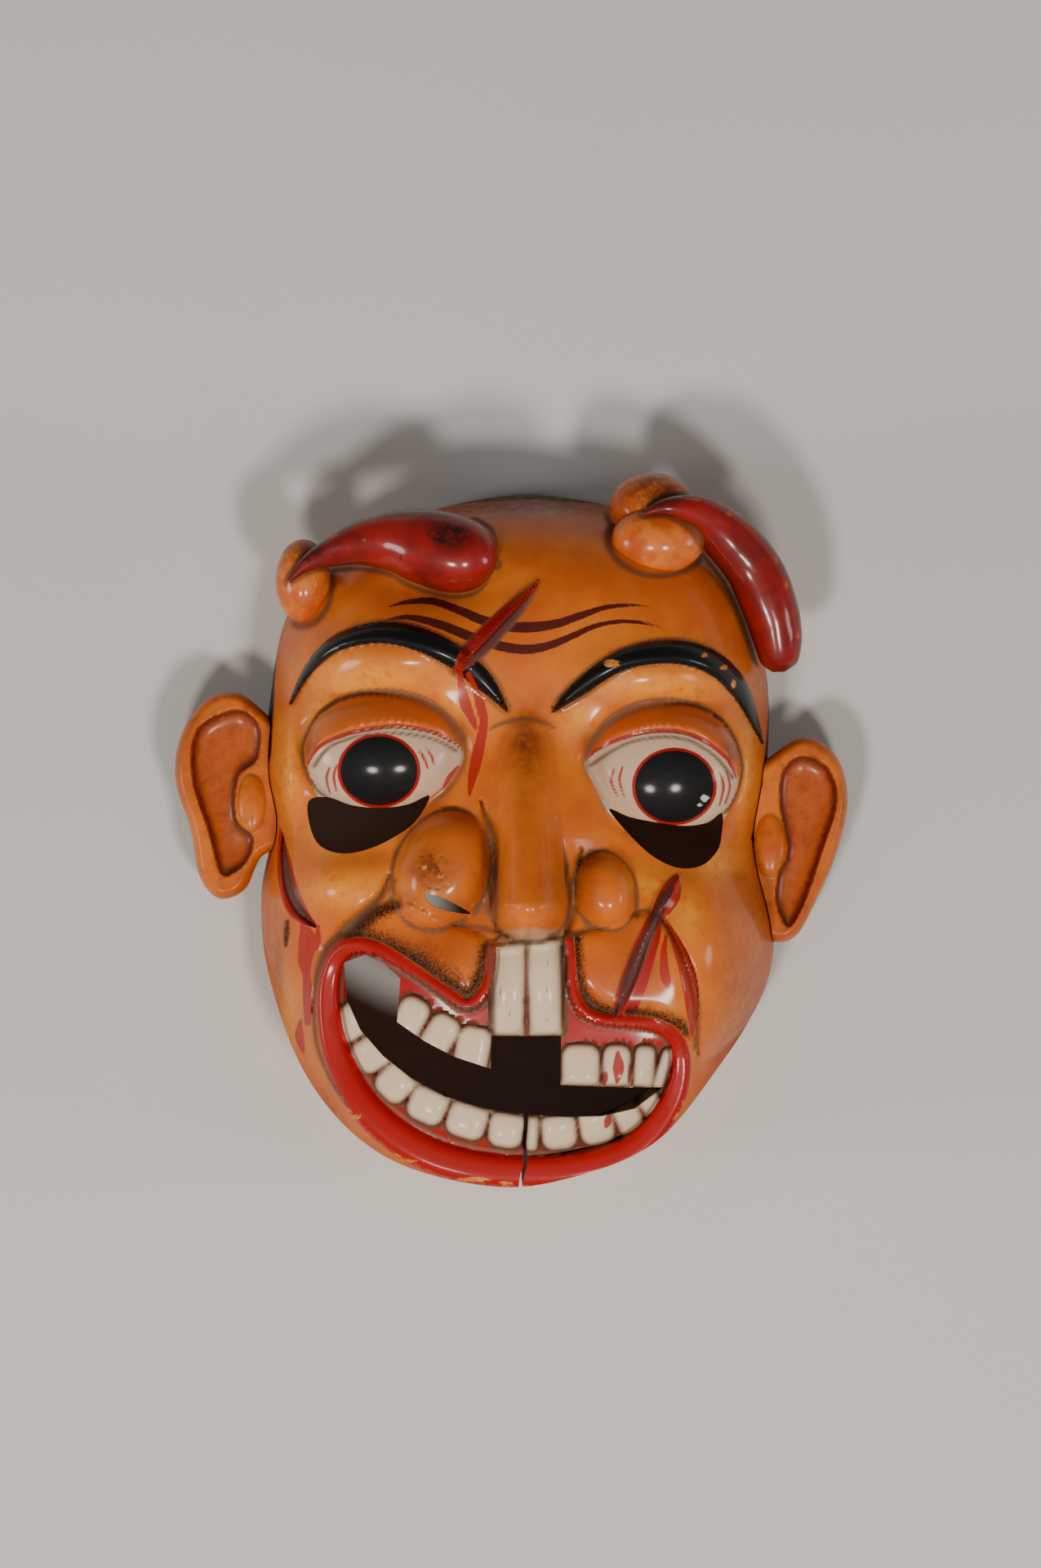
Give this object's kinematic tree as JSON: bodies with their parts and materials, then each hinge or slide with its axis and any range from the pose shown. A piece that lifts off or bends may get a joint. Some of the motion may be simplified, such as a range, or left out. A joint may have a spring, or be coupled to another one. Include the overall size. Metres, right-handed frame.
{
  "type": "kolam mask",
  "caption": "Carved and painted wooden folk-theatre mask of a wounded, grimacing man, hollow behind, with slits below the eyes to see through.",
  "frame": {"origin": "middle of the mask's outline seen from the front, in the plane of its flat back rim, on which it lies", "axes": "+Z the way the face looks, +Y towards the top of the head, +X towards the viewer's right"},
  "size_m": [0.2357, 0.2487, 0.1145],
  "materials": {
    "painted_face": "light wood, painted orange with red lips, white teeth and eyes and black brows, under worn gloss lacquer",
    "painted_ears": "light wood, painted orange with a red-brown hollow, under worn gloss lacquer"
  },
  "bodies": {
    "root": {"face": "painted_face", "ear_left": "painted_ears", "ear_right": "painted_ears"}
  },
  "joints": []
}
